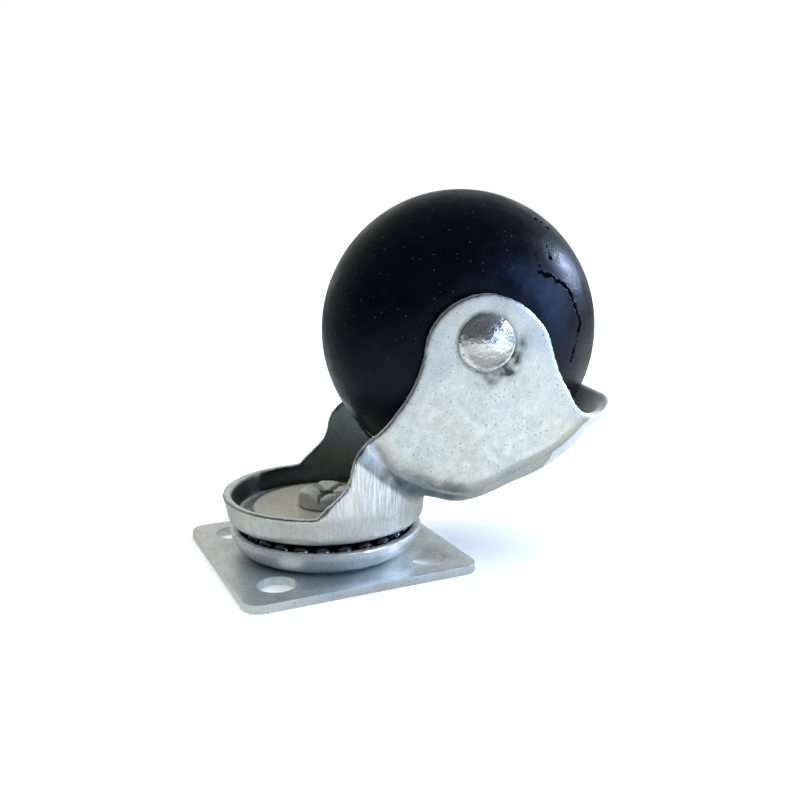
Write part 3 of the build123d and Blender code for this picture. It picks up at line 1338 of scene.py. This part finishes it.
@dataclass
class Studio:
    """Pale floor, soft lamps and the camera of the photograph."""

    azimuth: float = -24.84
    elevation: float = 11.58
    roll: float = -0.39
    distance: float = 168.9
    aim: tuple[float, float, float] = (15.26, 0.0, 27.55)
    lens: float = 40.5
    room: float = 1.25
    spot_light: float = 9.0
    # Painted glow that polished pieces see in the floor: painted shadow round shaded_spot, painted light
    # further out.
    shaded_spot: tuple[float, float, float] = (35.0, -15.0, 0.0)
    floor_near: float = 0.8
    floor_far: float = 2.15
    floor_side: float = 0.5

    def camera(self) -> None:
        """Set up the camera."""
        turn, rise = math.radians(self.azimuth), math.radians(self.elevation)
        back = Vector((math.sin(turn) * math.cos(rise), -math.cos(turn) * math.cos(rise), math.sin(rise)))
        data = bpy.data.cameras.new("camera")
        data.lens = self.lens
        data.sensor_width = 36.0
        data.clip_start = 0.01
        data.clip_end = 20.0
        camera = bpy.data.objects.new("camera", data)
        camera.location = (Vector(self.aim) + back * self.distance) * MM
        look = (-back).to_track_quat("-Z", "Y").to_matrix()
        camera.rotation_euler = (look @ Matrix.Rotation(math.radians(self.roll), 3, "Z")).to_euler()
        bpy.context.scene.collection.objects.link(camera)
        bpy.context.scene.camera = camera

    def lamp(
        self, name: str, spot: tuple[float, float, float], size: tuple[float, float], watts: float, tint: str
    ) -> None:
        """Hang a soft panel lamp that faces the castor.

        Args:
            name: Name of the lamp.
            spot: Its place in millimetres.
            size: Width and height in millimetres.
            watts: Its power.
            tint: Its colour.
        """
        data = bpy.data.lights.new(name, "AREA")
        data.shape = "ELLIPSE"
        data.size = size[0] * MM
        data.size_y = size[1] * MM
        data.energy = watts
        data.color = linear(tint)[:3]
        lamp = bpy.data.objects.new(name, data)
        lamp.location = Vector(spot) * MM
        aim = Vector((15, -5, 28)) - Vector(spot)
        lamp.rotation_euler = aim.to_track_quat("-Z", "Y").to_euler()
        bpy.context.scene.collection.objects.link(lamp)

    def floor(self) -> None:
        """Lay the floor: white paper. Polished pieces mirror a painted glow in its place: painted shadow close
        by the castor and painted light out in front.
        """
        bm = bmesh.new()
        bmesh.ops.create_grid(bm, x_segments=1, y_segments=1, size=3000)
        obj = solid(bm, "floor")
        material, tree, shader, where = new_finish("floor_paper")
        shader.inputs["Base Color"].default_value = linear("f4f5f5")
        shader.inputs["Roughness"].default_value = 0.9
        shader.inputs["Specular IOR Level"].default_value = 0.2
        split = add_node(tree, "ShaderNodeSeparateXYZ", {"Vector": where})
        shaded = add_node(tree, "ShaderNodeVectorMath", {0: where}, operation="DISTANCE")
        shaded.inputs[1].default_value = [v * MM for v in self.shaded_spot]
        away = shaded.outputs["Value"]
        reach = span_node(tree, away, 0.04, 0.08, self.floor_near, self.floor_far)
        beyond = span_node(tree, away, 0.1, 0.22, 1.0, 0.7)
        horizon = span_node(tree, away, 0.3, 0.9, 1.0, 0.2)
        across = span_node(tree, split.outputs["Y"], -0.06, 0.02, 1.0, self.floor_side)
        aside = span_node(tree, split.outputs["X"], -0.07, 0.03, 0.55, 1.0)
        # Painted shadow near the castor and painted light further out, for glossy rays only.
        glow = times(tree, reach, across, beyond, aside, horizon)
        pale = add_node(tree, "ShaderNodeEmission", {"Strength": glow}, in_Color=linear("f2f6f4"))
        show_to(tree, "Is Glossy Ray", shader.outputs[0], pale.outputs[0], "OUTPUT_MATERIAL")
        place(obj, Matrix.Identity(4), material)

    def sky(self) -> None:
        """Light the room: white for the camera, else pale behind and to the right and dim in front."""
        world = bpy.data.worlds.new("room")
        bpy.context.scene.world = world
        world.use_nodes = True
        tree = world.node_tree
        way = add_node(tree, "ShaderNodeTexCoord").outputs["Generated"]
        split = add_node(tree, "ShaderNodeSeparateXYZ", {"Vector": way})
        depth = span_node(tree, split.outputs["Y"], -1.0, 1.0, 0.0, 1.0)
        behind_steps = [(0.0, "484b50"), (0.32, "4a4e54"), (0.55, "a3a8a8"), (0.8, "d8dad5"), (1.0, "dcdcd4")]
        behind = ramp_node(tree, depth, behind_steps)
        side = span_node(tree, split.outputs["X"], -1.0, 1.0, 0.0, 1.0)
        across = ramp_node(tree, side, [(0.0, "6a6e70"), (0.5, "e0e0de"), (0.8, "f4f8ff"), (1.0, "e8f2ff")])
        rise_steps = [(0.0, "ffffff"), (0.35, "e8e8e8"), (0.7, "b0b0b0"), (1.0, "9a9a9a")]
        rise = ramp_node(tree, split.outputs["Z"], rise_steps)
        blots = add_node(tree, "ShaderNodeTexNoise", {"Vector": way}, in_Scale=5.0, in_Detail=5.0)
        blot = span_node(tree, blots.outputs["Fac"], 0.38, 0.62, 0.55, 1.45)
        shade = blend_node(tree, "MULTIPLY", blend_node(tree, "MULTIPLY", behind, across), rise)
        spots = add_node(tree, "ShaderNodeTexVoronoi", {"Vector": way}, in_Scale=7.0)
        lit = span_node(tree, spots.outputs["Distance"], 0.08, 0.14, self.spot_light, 0.0)
        strength = math_node(tree, "ADD", times(tree, blot, self.room), lit)
        room = add_node(tree, "ShaderNodeBackground", {"Color": shade, "Strength": strength})
        white = add_node(tree, "ShaderNodeBackground", in_Color=(1, 1, 1, 1), in_Strength=1.0)
        show_to(tree, "Is Camera Ray", room.outputs[0], white.outputs[0], "OUTPUT_WORLD")

    def build(self) -> None:
        """Set up the whole studio."""
        bpy.context.scene.view_settings.view_transform = "Standard"
        self.floor()
        self.sky()
        self.overhead()
        self.lamp("window", (500, -70, 227), (150, 110), 2.5, "cfdff8")
        self.lamp("softbox", (300, -400, 130), (300, 200), 1.9, "9cbcf0")
        self.camera()

    def overhead(self) -> None:
        """Hang an even overhead light for the floor, which polished pieces do not mirror."""
        data = bpy.data.lights.new("overhead", "SUN")
        data.energy = 3.9
        data.angle = math.radians(100)
        lamp = bpy.data.objects.new("overhead", data)
        lamp.location = (0, 0, 1)
        lamp.visible_glossy = False
        bpy.context.scene.collection.objects.link(lamp)


def main() -> None:
    """Build every piece and report it."""
    logging.basicConfig(level=logging.INFO, format="%(name)s: %(message)s")
    fork_zinc = Zinc("bright_zinc_fork").material()
    plate_zinc = Zinc("bright_zinc_plate", light="e2e8e9", mid="d2dde0", roughness=0.31, dull=0.14).material()
    dish_zinc = Zinc("bright_zinc_dish", light="e2e7e7", mid="d4dddf", roughness=0.36, dull=0.2).material()
    washer_zinc = Zinc(
        "dull_zinc_washer", light="cbc9bb", mid="bfbfb4", warm="cfcbb8", roughness=0.46, dull=0.35
    ).material()
    pin_zinc = Zinc(
        "dull_zinc_pin", light="c8ccc6", mid="b4b9b4", warm="b8b5a6", roughness=0.45, dull=0.5
    ).material()
    head_steel = Steel(
        "polished_rivet_steel", colour="c8cccc", roughness=0.15, scuff_mm=0.9, dent_mm=0.4, skin=0.88
    ).material()
    # Dark ball colour: grease on the balls and painted shade of the narrow gap they run in.
    ball_steel = Steel("greased_shaded_ball_steel", colour="55595f", roughness=0.08).material()
    nylon = Nylon("black_moulded_nylon").material()
    Plate().build(plate_zinc)
    RaceDish().build(dish_zinc)
    RaceWasher().build(washer_zinc)
    Kingpin().build(pin_zinc)
    Fork().build(fork_zinc)
    AxleRivet().build(head_steel)
    Wheel().build(nylon)
    for name, node in frame["nodes"].items():
        if "_ball_" in name:
            node.data.materials.clear()
            node.data.materials.append(ball_steel)
    Studio().build()
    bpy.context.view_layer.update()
    LOG.info("size written")


if __name__ == "__main__":
    main()
